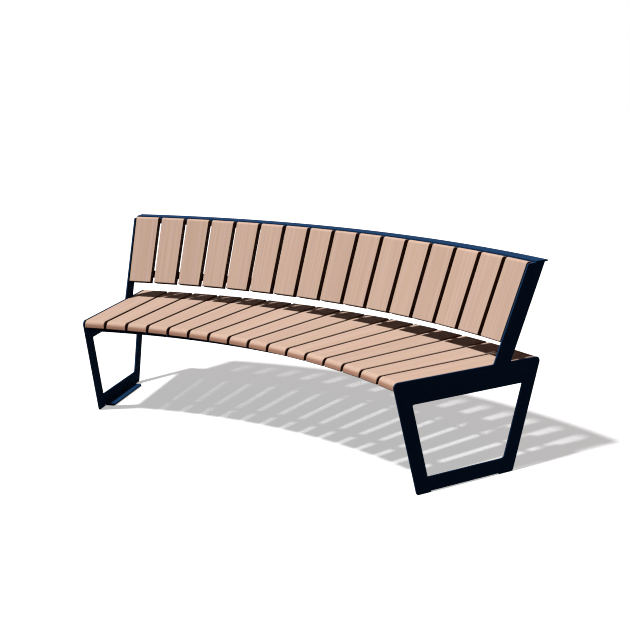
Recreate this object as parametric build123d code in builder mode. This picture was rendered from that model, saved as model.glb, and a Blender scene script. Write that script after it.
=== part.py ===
"""Curved garden bench: timber slats fanned over one eighth of a ring, between two flat-cut steel end frames."""
import os
from math import cos, degrees, radians, sin, tan

from build123d import *

os.makedirs("parts", exist_ok=True)

# Plan: one segment of a ring, its end frames on radial lines
front_radius = 2109.0
segment_angle = 45.0
slat_count = 16

# End frames, cut from plate; depths are counted outwards from the seat's front edge
plate = 6.0
seat_height = 450.0
seat_depth = 705.0
front_foot = 118.5
rear_foot = 584.5
seat_band = 94.0
foot_band = 64.0
front_leg_top = 65.0
front_leg_low = 65.0
rear_leg_top = 65.0
rear_leg_low = 66.0
front_pad = 65.0
rear_pad = 70.0
pad_height = 5.0
seat_corner = 18.0
foot_corner = 12.0
window_corner = 5.0
window_heel = 16.0

# Back posts, part of the end frames
back_start = 467.5
back_lean = 22.15
post_width = 83.5
post_rise = 372.0
post_corner = 8.0
post_root = 8.0

# Foot plates inside the frames, as long as the arch between the pads
foot_plate_drop = 3.0
foot_plate_width = 42.0
foot_plate_thickness = 8.0
foot_plate_corner = 8.0

# Timber
slat_thickness = 33.0
arris = 2.0
seat_gap = 13.5
end_gap = 3.0
nose_setback = 8.0
seat_tail_setback = 16.5
nose_top = 16.0
nose_low = 9.0
seat_tail = 8.0
back_gap = 19.5
back_slat_start = 88.5
back_slat_overtop = 10.5
back_slat_crown = 10.0

# Rolled steel rails
rail_thickness = 6.0
lower_rail_inset = 29.5
lower_rail_width = 35.0
upper_rail_width = 27.0
cap_width = 61.0
cap_thickness = 7.0
angle_upright = 50.0
angle_flange = 25.0
angle_thickness = 5.0
front_rail_setback = 146.0
rear_rail_inset = 152.0

# Worked out: angles, and the slats' share of the space between the frames
half_angle = segment_angle / 2
fan_inset = plate + end_gap - seat_gap / 2
clear_angle = half_angle - degrees(fan_inset / (front_radius + seat_depth / 2))
pitch = 2 * clear_angle / slat_count
half_pitch = radians(pitch / 2)
lean = radians(back_lean)
slat_underside = seat_height - slat_thickness
nose = front_radius + nose_setback
tail = front_radius + seat_depth - seat_tail_setback
rear_rail_setback = seat_depth - rear_rail_inset

# Worked out: a flat slat's middle stands this much before its edges, so the rail behind it is set back
rail_seat = (front_radius + seat_depth) * (1 / cos(half_pitch) - 1)
rail_face = slat_thickness + rail_seat
post_top = seat_height + post_rise
cap_front = back_start + post_rise * tan(lean) + rail_face / cos(lean)

# Worked out: distances up the lean from the seat's top
back_slat_end = post_rise / cos(lean) + back_slat_overtop
lower_rail_start = back_slat_start + lower_rail_inset
upper_rail_start = (post_rise + rail_face * sin(lean)) / cos(lean) - upper_rail_width

# Worked out: the ring's middle, set so that the bench's box is centred on the origin
front_slope = front_foot / seat_height
corner_setback = seat_corner * ((1 + front_slope**2) ** 0.5 + front_slope - 1)
nearest = (front_radius + corner_setback) * cos(radians(half_angle))
farthest = front_radius + cap_front + cap_width
ring_middle = (0, -(nearest + farthest) / 2, 0)
ring_axis = Axis(ring_middle, (0, 0, 1))


def outward(angle):
    """Level direction away from the ring's middle; angles grow towards the right."""
    return (sin(radians(angle)), cos(radians(angle)), 0)


def across(angle):
    """Level direction square to outward, towards the right."""
    return (cos(radians(angle)), -sin(radians(angle)), 0)


def upright(angle):
    """Plane with x outwards from the ring's middle, y up and z to the right."""
    return Plane(origin=ring_middle, x_dir=outward(angle), z_dir=across(angle))


def level(angle, height):
    """Plane with x outwards from the ring's middle and z up; y runs to the left."""
    raised = (ring_middle[0], ring_middle[1], height)
    return Plane(origin=raised, x_dir=outward(angle), z_dir=(0, 0, 1))


def leaning(angle):
    """Plane of a back slat's front face: x to the right, y up the lean, z towards the sitter."""
    rim = front_radius + back_start
    x, y, _ = outward(angle)
    foot = (ring_middle[0] + rim * x, ring_middle[1] + rim * y, seat_height)
    facing = (-cos(lean) * x, -cos(lean) * y, sin(lean))
    return Plane(origin=foot, x_dir=across(angle), z_dir=facing)


def frame_face(side):
    """Inner face of an end frame, with its normal towards the bench's middle."""
    x, y, _ = across(side * half_angle)
    inner = (ring_middle[0] - side * plate * x, ring_middle[1] - side * plate * y, 0)
    return Plane(origin=inner, z_dir=(-side * x, -side * y, 0))


def behind_slats(start, depth):
    """Point of the back's section: distance up the lean, and depth behind the slats' front faces."""
    out = front_radius + back_start + start * sin(lean) + depth * cos(lean)
    return (out, seat_height + start * cos(lean) - depth * sin(lean))


def keep(piece, name):
    """Names a finished sub-part and writes its file."""
    piece.part.label = name
    export_step(piece.part, f"parts/{name}.step")


# End frames: a trapezoid with a window and a leaning post, standing on two pads
seat_front = front_radius
seat_rear = front_radius + seat_depth
toe = front_radius + front_foot
heel = front_radius + rear_foot
post_foot = front_radius + back_start
post_head = post_foot + post_rise * tan(lean)
post_bury = seat_band / 2
window_top = seat_height - seat_band
rear_slope = (seat_depth - rear_foot) / seat_height
arch_front = toe + front_pad
arch_rear = heel - rear_pad

legs = [(seat_front, seat_height), (seat_rear, seat_height), (heel, 0), (toe, 0)]
post = [
    (post_foot - post_bury * tan(lean), seat_height - post_bury),
    (post_head, post_top),
    (post_head + post_width, post_top),
    (post_foot + post_width - post_bury * tan(lean), seat_height - post_bury),
]
window = [
    (seat_front + seat_band * front_slope + front_leg_top, window_top),
    (seat_rear - seat_band * rear_slope - rear_leg_top, window_top),
    (heel + foot_band * rear_slope - rear_leg_low, foot_band),
    (toe - foot_band * front_slope + front_leg_low, foot_band),
]
rounded = [(corner, seat_corner) for corner in legs[:2]]
rounded += [(corner, foot_corner) for corner in legs[2:]]
rounded += zip(window, (window_corner, window_corner, window_heel, window_corner))
rounded += [((post_foot, seat_height), post_root), ((post_head, post_top), post_corner)]

for side, hand in ((-1, "left"), (1, "right")):
    with BuildPart() as end_frame:
        with BuildSketch(upright(side * half_angle)) as outline:
            for corners, mode in ((legs, Mode.ADD), (post, Mode.ADD), (window, Mode.SUBTRACT)):
                with BuildLine():
                    Polyline(*corners, close=True)
                make_face(mode=mode)
            with Locations(((arch_front + arch_rear) / 2, 0)):
                Rectangle(arch_rear - arch_front, 2 * pad_height, mode=Mode.SUBTRACT)
            for corner, radius in rounded:
                fillet(outline.vertices().sort_by_distance(corner)[0], radius=radius)
        extrude(amount=-side * plate)
    keep(end_frame, f"end_frame_{hand}")

# Foot plates: level along each frame's inner face, reaching a little below its arch, free corners rounded
for side, hand in ((-1, "left"), (1, "right")):
    with BuildPart() as foot_plate:
        with BuildSketch(level(side * half_angle, pad_height - foot_plate_drop)):
            with Locations(((arch_front + arch_rear) / 2, side * (plate + foot_plate_width / 2))):
                sheet = Rectangle(arch_rear - arch_front, foot_plate_width)
            fillet(sheet.vertices().sort_by(Axis.Y, reverse=side > 0)[:2], radius=foot_plate_corner)
        extrude(amount=foot_plate_thickness)
    keep(foot_plate, f"foot_plate_{hand}")

# Seat slats: tapered boards lying on the angle rails, noses rounded, every gap of one width
for number in range(1, slat_count + 1):
    turn = (number - (slat_count + 1) / 2) * pitch
    half_front = nose * tan(half_pitch) - seat_gap / 2 / cos(half_pitch)
    half_rear = tail * tan(half_pitch) - seat_gap / 2 / cos(half_pitch)
    with BuildPart() as seat_slat:
        with BuildSketch(level(turn, slat_underside)):
            with BuildLine():
                Polyline(
                    (nose, half_front),
                    (nose, -half_front),
                    (tail, -half_rear),
                    (tail, half_rear),
                    close=True,
                )
            make_face()
        extrude(amount=slat_thickness)
        square = Axis(ring_middle, across(turn))
        radial = Axis(ring_middle, outward(turn))
        fillet(seat_slat.edges().filter_by(square).group_by(Axis.Z)[-1].sort_by(radial)[0], radius=nose_top)
        fillet(seat_slat.edges().filter_by(square).group_by(Axis.Z)[0].sort_by(radial)[0], radius=nose_low)
        fillet(seat_slat.edges().filter_by(square).group_by(Axis.Z)[-1].sort_by(radial)[-1], radius=seat_tail)
        flanks = seat_slat.faces().sort_by(square)
        chamfer(flanks[0].edges() + flanks[-1].edges(), length=arris)
    keep(seat_slat, f"seat_slat_{number:02d}")

# Back slats: tapered boards on the lean of the posts, top edges rounded towards the sitter
for number in range(1, slat_count + 1):
    turn = (number - (slat_count + 1) / 2) * pitch
    low = back_slat_start
    high = back_slat_end
    half_low = (post_foot + low * sin(lean)) * tan(half_pitch) - back_gap / 2 / cos(half_pitch)
    half_high = (post_foot + high * sin(lean)) * tan(half_pitch) - back_gap / 2 / cos(half_pitch)
    with BuildPart() as back_slat:
        with BuildSketch(leaning(turn)):
            with BuildLine():
                Polyline((-half_low, low), (half_low, low), (half_high, high), (-half_high, high), close=True)
            make_face()
        extrude(amount=-slat_thickness)
        square = Axis(ring_middle, across(turn))
        fillet(back_slat.edges().filter_by(square).sort_by(Axis.Z)[-1], radius=back_slat_crown)
        flanks = back_slat.faces().sort_by(square)
        chamfer(flanks[0].edges() + flanks[-1].edges(), length=arris)
    keep(back_slat, f"back_slat_{number:02d}")

# Back rails: flat bars rolled to the ring, cut to the posts' inner faces
with BuildPart() as back_lower_rail:
    with BuildSketch(upright(-half_angle)):
        with BuildLine():
            Polyline(
                behind_slats(lower_rail_start, rail_face),
                behind_slats(lower_rail_start + lower_rail_width, rail_face),
                behind_slats(lower_rail_start + lower_rail_width, rail_face + rail_thickness),
                behind_slats(lower_rail_start, rail_face + rail_thickness),
                close=True,
            )
        make_face()
    revolve(axis=ring_axis, revolution_arc=-segment_angle)
    split(bisect_by=frame_face(-1), keep=Keep.TOP)
    split(bisect_by=frame_face(1), keep=Keep.TOP)
keep(back_lower_rail, "back_lower_rail")

with BuildPart() as back_upper_rail:
    with BuildSketch(upright(-half_angle)):
        front_low = behind_slats(upper_rail_start, rail_face)
        rear_low = behind_slats(upper_rail_start, rail_face + rail_thickness)
        front_high = (front_radius + cap_front, post_top)
        rear_high = (front_radius + cap_front + rail_thickness / cos(lean), post_top)
        with BuildLine():
            Polyline(front_low, front_high, rear_high, rear_low, close=True)
        make_face()
    revolve(axis=ring_axis, revolution_arc=-segment_angle)
    split(bisect_by=frame_face(-1), keep=Keep.TOP)
    split(bisect_by=frame_face(1), keep=Keep.TOP)
keep(back_upper_rail, "back_upper_rail")

# Cap: a flat bar on the post tops, flush with the frames' outer faces
with BuildPart() as back_cap:
    with BuildSketch(upright(-half_angle)):
        with Locations((front_radius + cap_front + cap_width / 2, post_top + cap_thickness / 2)):
            Rectangle(cap_width, cap_thickness)
    revolve(axis=ring_axis, revolution_arc=-segment_angle)
keep(back_cap, "back_cap")

# Seat rails: rolled angles under the slats, upright legs turned outwards from each other
for name, heel_at, reach in (("seat_front_rail", front_rail_setback, 1), ("seat_rear_rail", rear_rail_setback, -1)):
    with BuildPart() as seat_rail:
        with BuildSketch(upright(-half_angle)):
            corner = front_radius + heel_at
            with BuildLine():
                Polyline(
                    (corner, slat_underside),
                    (corner + reach * angle_flange, slat_underside),
                    (corner + reach * angle_flange, slat_underside - angle_thickness),
                    (corner + reach * angle_thickness, slat_underside - angle_thickness),
                    (corner + reach * angle_thickness, slat_underside - angle_upright),
                    (corner, slat_underside - angle_upright),
                    close=True,
                )
            make_face()
        revolve(axis=ring_axis, revolution_arc=-segment_angle)
        split(bisect_by=frame_face(-1), keep=Keep.TOP)
        split(bisect_by=frame_face(1), keep=Keep.TOP)
    keep(seat_rail, name)
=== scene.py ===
"""Looks of a curved garden bench: straight-grained timber slats between powder-coated steel end frames."""
from math import cos, pi, radians, sin, tan
from random import Random

import bmesh
import bpy
from mathutils import Matrix, Vector


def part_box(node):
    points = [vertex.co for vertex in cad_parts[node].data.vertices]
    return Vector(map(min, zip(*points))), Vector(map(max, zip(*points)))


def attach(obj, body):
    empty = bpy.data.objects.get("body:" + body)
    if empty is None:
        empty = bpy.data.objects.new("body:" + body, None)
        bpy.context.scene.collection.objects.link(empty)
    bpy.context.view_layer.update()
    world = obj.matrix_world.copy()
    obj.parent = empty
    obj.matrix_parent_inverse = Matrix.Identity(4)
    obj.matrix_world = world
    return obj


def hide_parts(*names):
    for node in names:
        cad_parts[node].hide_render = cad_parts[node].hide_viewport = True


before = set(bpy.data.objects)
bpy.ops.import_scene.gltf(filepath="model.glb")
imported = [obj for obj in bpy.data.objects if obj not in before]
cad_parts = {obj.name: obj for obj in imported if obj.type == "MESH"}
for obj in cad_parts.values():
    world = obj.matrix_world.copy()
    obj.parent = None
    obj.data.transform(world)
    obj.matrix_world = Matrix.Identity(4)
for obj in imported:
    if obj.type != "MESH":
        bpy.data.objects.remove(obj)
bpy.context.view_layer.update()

# Plan of the bench, in metres: one eighth of a ring, with its middle in front of the sitter
front_radius = 2.109
segment_angle = radians(45)
slat_count = 16
plate = 0.006
seat_height = 0.450
seat_depth = 0.705
cap_radius = 2.82547

# Timber
slat_thickness = 0.033
seat_gap = 0.0135
end_gap = 0.003
nose_setback = 0.008
tail_setback = 0.0165
back_start = 0.4675
back_lean = radians(22.15)
back_gap = 0.0195
back_slat_start = 0.0885
back_slat_end = 0.4121

# Roundings of the boards: the edges of the face, those on the rail side, then the ends
seat_arris = 0.0035
back_arris = 0.0015
hidden_arris = 0.0002
nose_top_round = 0.020
nose_low_round = 0.005
tail_round = 0.008
back_top_round = 0.014
back_low_round = 0.0045

# Rails that carry the slats, and their screws
seat_flange = 0.005
front_flange_setback = 0.161
rear_flange_setback = 0.538
back_rail_depth = 0.0398
lower_rail_middle = 0.1355
upper_rail_middle = 0.4019
screw_spread = 0.026

# Worked out
half_angle = segment_angle / 2
fan_inset = plate + end_gap - seat_gap / 2
clear_angle = half_angle - fan_inset / (front_radius + seat_depth / 2)
pitch = 2 * clear_angle / slat_count
half_pitch = pitch / 2
turns = [(number + 0.5) * pitch - clear_angle for number in range(slat_count)]
ring_middle = Vector((0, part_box("back_cap")[1].y - cap_radius, 0))
seat_slat_start = front_radius + nose_setback
seat_slat_end = front_radius + seat_depth - tail_setback
seat_flange_height = seat_height - slat_thickness - seat_flange

# Edges across a board's ends, by whether they are at the far end and whether they are on its face
near_face = (False, True)
near_rear = (False, False)
far_face = (True, True)


def linear(code):
    """A colour written as an sRGB hex value, in the linear values that shaders take."""
    shares = [int(code[i : i + 2], 16) / 255 for i in (1, 3, 5)]
    return [s / 12.92 if s <= 0.04045 else ((s + 0.055) / 1.055) ** 2.4 for s in shares] + [1]


def add(tree, kind, inputs=None, **settings):
    """Adds a node with its settings; an input is a fixed value or the output that feeds it.

    Inputs go by name, or by number where a node has several of one name: a Mix node's colours are 6 and 7.
    """
    node = tree.nodes.new("ShaderNode" + kind)
    for name, value in settings.items():
        setattr(node, name, value)
    for socket, value in (inputs or {}).items():
        if isinstance(value, bpy.types.NodeSocket):
            tree.links.new(value, node.inputs[socket])
        else:
            node.inputs[socket].default_value = value
    return node


def new_material(name):
    """An empty material and its tree, with the shader that the finish is built on."""
    material = bpy.data.materials.new(name)
    material.use_nodes = True
    tree = material.node_tree
    return material, tree, tree.nodes["Principled BSDF"]


def oiled_larch():
    """Planed, oiled larch: growth lines along the board, bands from rose to straw, and redder ends.

    Growth lines and fibres are finer on a real board; they are drawn as coarse as they need to be to show.
    """
    growth_line = 0.0105
    band = 0.017
    fibre = 0.0032
    relief_depth = 0.0003
    along_bands = (1, 0.03, 1)
    along_fibres = (1, 0.012, 1)
    line_share = 0.22
    end_share = 0.9
    wave_period = 0.314  # of the wave texture at a scale of 1
    rose, straw = linear("#DDBEAE"), linear("#DDC0A9")
    late_wood = linear("#C79C84")
    end_wood = linear("#CF9B82")

    material, tree, shader = new_material("oiled_larch")
    grain = add(tree, "Attribute", attribute_name="grain").outputs["Vector"]
    tone = add(tree, "Attribute", attribute_name="tone").outputs["Fac"]
    run = add(tree, "Attribute", attribute_name="run").outputs["Vector"]
    drawn = add(tree, "VectorMath", {0: grain, 1: along_bands}, operation="MULTIPLY").outputs[0]
    combed = add(tree, "VectorMath", {0: grain, 1: along_fibres}, operation="MULTIPLY").outputs[0]
    waviness = {"Distortion": 5, "Detail": 3, "Detail Scale": 0.7}
    growth = add(
        tree,
        "TexWave",
        {"Vector": drawn, "Scale": wave_period / growth_line, **waviness},
        wave_type="RINGS",
        rings_direction="Y",
    ).outputs["Fac"]
    bands = add(tree, "TexNoise", {"Vector": drawn, "Scale": 1 / band, "Detail": 2}).outputs["Fac"]
    fibres = add(tree, "TexNoise", {"Vector": combed, "Scale": 1 / fibre, "Detail": 3}).outputs["Fac"]

    # Long sides: rose to straw, darker late wood, fibres, and a tone of its own for each board
    spread = add(tree, "MapRange", {"Value": bands, "From Min": 0.35, "From Max": 0.65}).outputs[0]
    ground = add(tree, "Mix", {0: spread, 6: rose, 7: straw}, data_type="RGBA").outputs[2]
    late = add(tree, "Math", {0: growth, 1: line_share}, operation="MULTIPLY").outputs[0]
    lined = add(tree, "Mix", {0: late, 6: ground, 7: late_wood}, data_type="RGBA").outputs[2]
    fibre_range = {"From Min": 0.3, "From Max": 0.7, "To Min": 0.94, "To Max": 1.05}
    shade = add(tree, "MapRange", {"Value": fibres, **fibre_range}).outputs[0]
    board = add(tree, "MapRange", {"Value": tone, "To Min": 0.97, "To Max": 1.03}).outputs[0]
    value = add(tree, "Math", {0: shade, 1: board}, operation="MULTIPLY").outputs[0]
    side = add(tree, "HueSaturation", {"Value": value, "Color": lined}).outputs[0]

    # Ends: where the surface faces along the grain
    normal = add(tree, "NewGeometry").outputs["Normal"]
    facing = add(tree, "VectorMath", {0: normal, 1: run}, operation="DOT_PRODUCT").outputs["Value"]
    open_pores = add(tree, "Math", {0: facing}, operation="ABSOLUTE").outputs[0]
    end_range = {"From Min": 0.85, "From Max": 1.0, "To Max": end_share}
    end_grain = add(tree, "MapRange", {"Value": open_pores, **end_range}).outputs[0]
    colour = add(tree, "Mix", {0: end_grain, 6: side, 7: end_wood}, data_type="RGBA").outputs[2]

    relief = add(tree, "Math", {0: growth, 1: fibres}, operation="ADD").outputs[0]
    bump = add(tree, "Bump", {"Height": relief, "Strength": 0.25, "Distance": relief_depth}).outputs[0]
    gloss = add(tree, "MapRange", {"Value": fibres, "To Min": 0.5, "To Max": 0.62}).outputs[0]
    tree.links.new(colour, shader.inputs["Base Color"])
    tree.links.new(bump, shader.inputs["Normal"])
    tree.links.new(gloss, shader.inputs["Roughness"])
    shader.inputs["Specular IOR Level"].default_value = 0.01
    return material


def powder_coat():
    """Fine matt powder coat on steel plate: a soft orange peel breaks up the light; edges stay crisp."""
    peel_size = 0.0022
    peel_depth = 0.0002
    cloud_size = 0.09
    deep_blue, pale_blue = linear("#13385F"), linear("#163C65")
    material, tree, shader = new_material("matt_powder_coat")
    place = add(tree, "TexCoord").outputs["Object"]
    peel = add(tree, "TexNoise", {"Vector": place, "Scale": 1 / peel_size, "Detail": 2}).outputs["Fac"]
    cloud = add(tree, "TexNoise", {"Vector": place, "Scale": 1 / cloud_size, "Detail": 2}).outputs["Fac"]
    colour = add(tree, "Mix", {0: cloud, 6: deep_blue, 7: pale_blue}, data_type="RGBA").outputs[2]
    gloss = add(tree, "MapRange", {"Value": peel, "To Min": 0.8, "To Max": 0.95}).outputs[0]
    bump = add(tree, "Bump", {"Height": peel, "Strength": 0.2, "Distance": peel_depth}).outputs[0]
    tree.links.new(colour, shader.inputs["Base Color"])
    tree.links.new(gloss, shader.inputs["Roughness"])
    tree.links.new(bump, shader.inputs["Normal"])
    shader.inputs["Specular IOR Level"].default_value = 0.06
    return material


def stainless():
    """Cold-headed stainless screws: bright, with a faint drawn grain."""
    scratch = 0.0006
    dull, bright = linear("#B9B8B4"), linear("#CFCECB")
    material, tree, shader = new_material("stainless_steel")
    place = add(tree, "TexCoord").outputs["Object"]
    grain = add(tree, "TexNoise", {"Vector": place, "Scale": 1 / scratch, "Detail": 2}).outputs["Fac"]
    gloss = add(tree, "MapRange", {"Value": grain, "To Min": 0.28, "To Max": 0.46}).outputs[0]
    colour = add(tree, "Mix", {0: grain, 6: dull, 7: bright}, data_type="RGBA").outputs[2]
    tree.links.new(colour, shader.inputs["Base Color"])
    tree.links.new(gloss, shader.inputs["Roughness"])
    shader.inputs["Metallic"].default_value = 1
    return material


def new_piece(name, mesh, material):
    """Turns a finished bmesh into a piece of the bench, shaded smoothly round its small radii."""
    for face in mesh.faces:
        face.smooth = True
    data = bpy.data.meshes.new(name)
    mesh.to_mesh(data)
    mesh.free()
    data.materials.append(material)
    piece = bpy.data.objects.new(name, data)
    bpy.context.scene.collection.objects.link(piece)
    piece.modifiers.new("even_shading", "WEIGHTED_NORMAL")
    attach(piece, "root")
    return piece


def round_over(mesh, edges, radius, segments):
    bmesh.ops.bevel(
        mesh, geom=edges, offset=radius, segments=segments, profile=0.5, affect="EDGES", material=-1
    )


def sharp_edges(mesh):
    least_turn = radians(50)
    return [edge for edge in mesh.edges if edge.calc_face_angle(0) > least_turn]


def seat_half_width(radius):
    return radius * tan(half_pitch) - seat_gap / 2 / cos(half_pitch)


def back_half_width(rise):
    radius = front_radius + back_start + rise * sin(back_lean)
    return radius * tan(half_pitch) - back_gap / 2 / cos(half_pitch)


def on_ring(turn, height):
    """Local frame of a seat slat: x to the right, y outwards from the ring's middle, z up."""
    return Matrix.Translation(ring_middle + Vector((0, 0, height))) @ Matrix.Rotation(-turn, 4, "Z")


def on_back(turn):
    """Local frame of a back slat: x to the right, y up the lean, z towards the sitter."""
    foot = Matrix.Translation((0, front_radius + back_start, 0))
    return on_ring(turn, seat_height) @ foot @ Matrix.Rotation(pi / 2 - back_lean, 4, "X")


def slat(name, near, far, half_width, end_rounds, arris, place, draw):
    """A tapered board along y, its face at z = 0; end_rounds has the radii of the edges across its ends."""
    mesh = bmesh.new()
    bmesh.ops.create_cube(mesh, size=2)
    ends = {}
    for edge in mesh.edges:
        middle = (edge.verts[0].co + edge.verts[1].co) / 2
        runs_across = abs(middle.x) < 0.5
        if runs_across:
            ends[middle.y > 0, middle.z > 0] = edge
    for corner in mesh.verts:
        y = far if corner.co.y > 0 else near
        corner.co = (corner.co.x * half_width(y), y, 0 if corner.co.z > 0 else -slat_thickness)
    for end, radius in end_rounds.items():
        round_over(mesh, [ends[end]], radius, segments=7)
    half_way = -slat_thickness / 2
    hidden = [edge for edge in sharp_edges(mesh) if max(vert.co.z for vert in edge.verts) < half_way]
    round_over(mesh, hidden, hidden_arris, segments=1)
    round_over(mesh, sharp_edges(mesh), arris, segments=3)

    # Each board is cut from its own place in the log, off the heart, and has its own tone
    grain = mesh.verts.layers.float_vector.new("grain")
    run = mesh.verts.layers.float_vector.new("run")
    tone = mesh.verts.layers.float.new("tone")
    cut = Vector((draw.uniform(-0.05, 0.05), draw.uniform(0, 40), draw.uniform(0.05, 0.12)))
    shade = draw.random()
    along = place.to_3x3() @ Vector((0, 1, 0))
    for vert in mesh.verts:
        vert[grain] = vert.co + cut
        vert[run] = along
        vert[tone] = shade
    mesh.transform(place)
    return new_piece(f"{name}_board", mesh, larch)


def coated(name):
    """A steel piece with the small round edges that a thick coat leaves, from its CAD node."""
    edge_radius = 0.0008
    same_place = 0.00001
    same_plane = radians(0.3)
    mesh = bmesh.new()
    mesh.from_mesh(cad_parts[name].data)
    bmesh.ops.remove_doubles(mesh, verts=mesh.verts, dist=same_place)
    bmesh.ops.dissolve_limit(mesh, angle_limit=same_plane, verts=mesh.verts, edges=mesh.edges)
    round_over(mesh, sharp_edges(mesh), edge_radius, segments=2)
    piece = new_piece(f"{name}_coated", mesh, coat)
    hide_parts(name)
    return piece


def screw_heads(name, places):
    """Button heads with a recess for the key; each place has z pointing out of the steel."""
    head_radius = 0.00525
    dome = [(head_radius, 0.0009), (0.0045, 0.0021), (0.0034, 0.0029), (0.0023, 0.0032)]
    # The recess starts on the dome's last ring, so that smooth shading leaves its rim crisp
    recess = [dome[-1], (0.0022, 0.0013)]
    head = bmesh.new()
    bmesh.ops.create_circle(head, segments=12, radius=head_radius)
    rim = head.edges[:]
    for radius, height in dome + recess:
        new = bmesh.ops.extrude_edge_only(head, edges=rim)["geom"]
        rim = [part for part in new if isinstance(part, bmesh.types.BMEdge)]
        corners = [part for part in new if isinstance(part, bmesh.types.BMVert)]
        for corner in corners:
            corner.co.z = 0
            corner.co *= radius / corner.co.length
            corner.co.z = height
    bmesh.ops.contextual_create(head, geom=rim)
    bmesh.ops.recalc_face_normals(head, faces=head.faces)
    pattern = bpy.data.meshes.new(name)
    head.to_mesh(pattern)
    head.free()
    mesh = bmesh.new()
    for place in places:
        pattern.transform(place)
        mesh.from_mesh(pattern)
        pattern.transform(place.inverted())
    bpy.data.meshes.remove(pattern)
    return new_piece(name, mesh, screw_steel)


def seen_rays(tree):
    """1 for rays that show the background: straight from the camera, mirrored or through glass."""
    path = add(tree, "LightPath").outputs
    straight, mirrored, through = path["Is Camera Ray"], path["Is Glossy Ray"], path["Is Transmission Ray"]
    plain = add(tree, "Math", {0: straight, 1: mirrored}, operation="MAXIMUM").outputs[0]
    return add(tree, "Math", {0: plain, 1: through}, operation="MAXIMUM").outputs[0]


def studio_floor():
    """White paper floor: the camera sees it white with a light grey shadow, and it sheds no light."""
    reach = 30
    paper_glow = 0.488
    glow_white = linear("#FCFEFF")
    paper = (0.8, 0.8, 0.8, 1)
    unseen = linear("#202020")
    mesh = bmesh.new()
    bmesh.ops.create_grid(mesh, x_segments=1, y_segments=1, size=reach)
    data = bpy.data.meshes.new("floor")
    mesh.to_mesh(data)
    mesh.free()
    floor = bpy.data.objects.new("floor", data)
    bpy.context.scene.collection.objects.link(floor)
    material, tree, shader = new_material("white_paper")
    tree.nodes.remove(shader)
    glow = add(tree, "Emission", {"Color": glow_white, "Strength": paper_glow}).outputs[0]
    lit = add(tree, "BsdfDiffuse", {"Color": paper}).outputs[0]
    shown = add(tree, "AddShader", {0: glow, 1: lit}).outputs[0]
    hidden = add(tree, "BsdfDiffuse", {"Color": unseen}).outputs[0]
    mixed = add(tree, "MixShader", {0: seen_rays(tree), 1: hidden, 2: shown}).outputs[0]
    tree.links.new(mixed, tree.nodes["Material Output"].inputs["Surface"])
    data.materials.append(material)


def studio_light():
    """A sun from the front left, a dim warm surround, and a broad soft light low behind on the left."""
    fall = Vector((0.216, 0.54, -1))
    rear_left = Vector((-0.75, 0.66, 0)).normalized()
    warm = linear("#FFA884")
    surround = 0.05
    soft_light = 0.35
    soft_light_top = 0.35
    sun = bpy.data.objects.new("sun", bpy.data.lights.new("sun", "SUN"))
    sun.data.energy = 3.5
    sun.data.angle = radians(4)
    sun.rotation_euler = fall.to_track_quat("-Z", "Y").to_euler()
    bpy.context.scene.collection.objects.link(sun)

    world = bpy.data.worlds.new("studio")
    bpy.context.scene.world = world
    world.use_nodes = True
    tree = world.node_tree
    tree.nodes.remove(tree.nodes["Background"])
    outwards = add(tree, "TexCoord").outputs["Generated"]
    towards = add(tree, "VectorMath", {0: outwards, 1: rear_left}, operation="DOT_PRODUCT").outputs["Value"]
    height = add(tree, "SeparateXYZ", {0: outwards}).outputs["Z"]
    falling = {"From Min": 0, "From Max": soft_light_top, "To Min": 1, "To Max": 0}
    low = add(tree, "MapRange", {"Value": height, **falling}).outputs[0]
    breadth = {"From Min": 0.5, "From Max": 0.9, "To Max": soft_light}
    soft_box = add(
        tree, "MapRange", {"Value": towards, **breadth}, interpolation_type="SMOOTHSTEP"
    ).outputs[0]
    strength = add(tree, "Math", {0: low, 1: soft_box, 2: surround}, operation="MULTIPLY_ADD").outputs[0]
    dim = add(tree, "Background", {"Color": warm, "Strength": strength}).outputs[0]
    white = add(tree, "Background", {"Color": (1, 1, 1, 1), "Strength": 1}).outputs[0]
    mixed = add(tree, "MixShader", {0: seen_rays(tree), 1: dim, 2: white}).outputs[0]
    tree.links.new(mixed, tree.nodes["World Output"].inputs["Surface"])


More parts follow.
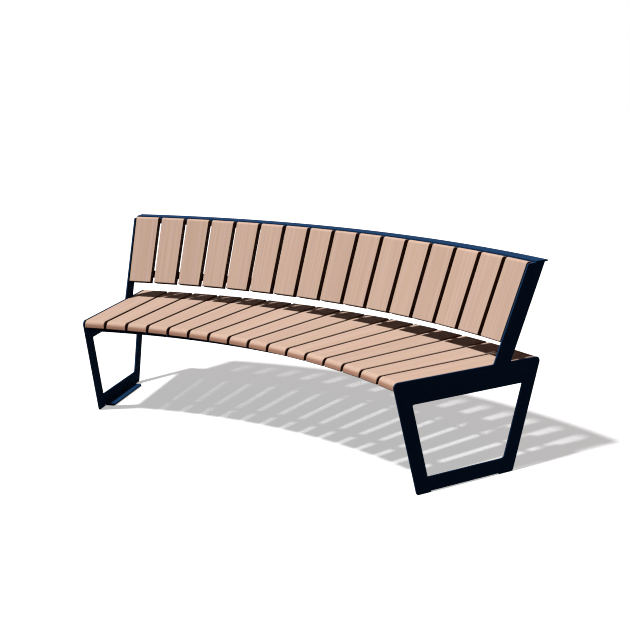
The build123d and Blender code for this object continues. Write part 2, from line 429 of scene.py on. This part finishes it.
def photo_camera():
    """The photograph's viewpoint; the focal length is in pixels of its 630-pixel frame."""
    place = ring_middle + Vector((2.69241, -1.09984, 1.55292))
    yaw, pitch_down, roll = radians(-36.1288), radians(13.3879), radians(0.1419)
    focal_pixels = 1054.02
    frame_pixels = 630
    forward = Vector((sin(yaw) * cos(pitch_down), cos(yaw) * cos(pitch_down), -sin(pitch_down)))
    right = Vector((cos(yaw), -sin(yaw), 0))
    down = forward.cross(right)
    right, down = right * cos(roll) + down * sin(roll), down * cos(roll) - right * sin(roll)
    camera = bpy.data.objects.new("camera", bpy.data.cameras.new("camera"))
    camera.data.sensor_width = 36
    camera.data.lens = focal_pixels / frame_pixels * camera.data.sensor_width
    axes = Matrix((right, -down, -forward)).transposed().to_4x4()
    camera.matrix_world = Matrix.Translation(place) @ axes
    bpy.context.scene.collection.objects.link(camera)
    bpy.context.scene.camera = camera


larch = oiled_larch()
coat = powder_coat()
screw_steel = stainless()

# Timber: sixteen boards for the seat and sixteen for the back, each with its own stretch of grain
draw = Random(7)
seat_rounds = {near_face: nose_top_round, near_rear: nose_low_round, far_face: tail_round}
back_rounds = {far_face: back_top_round, near_face: back_low_round}
for number, turn in enumerate(turns, 1):
    node = f"seat_slat_{number:02d}"
    place = on_ring(turn, seat_height)
    piece = slat(
        node, seat_slat_start, seat_slat_end, seat_half_width, seat_rounds, seat_arris, place, draw
    )
    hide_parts(node)
for number, turn in enumerate(turns, 1):
    node = f"back_slat_{number:02d}"
    place = on_back(turn)
    piece = slat(
        node, back_slat_start, back_slat_end, back_half_width, back_rounds, back_arris, place, draw
    )
    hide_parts(node)

# Steel: frames, foot plates, rails and cap
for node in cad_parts:
    if "slat" not in node:
        coated(node)

# Screws: two to each crossing of a slat and a rail, driven from below and from behind
turned_over = Matrix.Rotation(pi, 4, "X")
seat_places = []
back_places = []
for turn in turns:
    for side in (-screw_spread, screw_spread):
        for setback in (front_flange_setback, rear_flange_setback):
            spot = Matrix.Translation((side, front_radius + setback, 0))
            seat_places.append(on_ring(turn, seat_flange_height) @ spot @ turned_over)
        for rise in (lower_rail_middle, upper_rail_middle):
            spot = Matrix.Translation((side, rise, -back_rail_depth))
            back_places.append(on_back(turn) @ spot @ turned_over)
screw_heads("seat_screws", seat_places)
screw_heads("back_screws", back_places)

# Studio
studio_floor()
studio_light()
photo_camera()
bpy.context.scene.view_settings.view_transform = "Standard"

# Deep shade, with no light passed on between the boards, and crisp edges
bpy.context.scene.cycles.diffuse_bounces = 0
bpy.context.scene.cycles.filter_width = 1
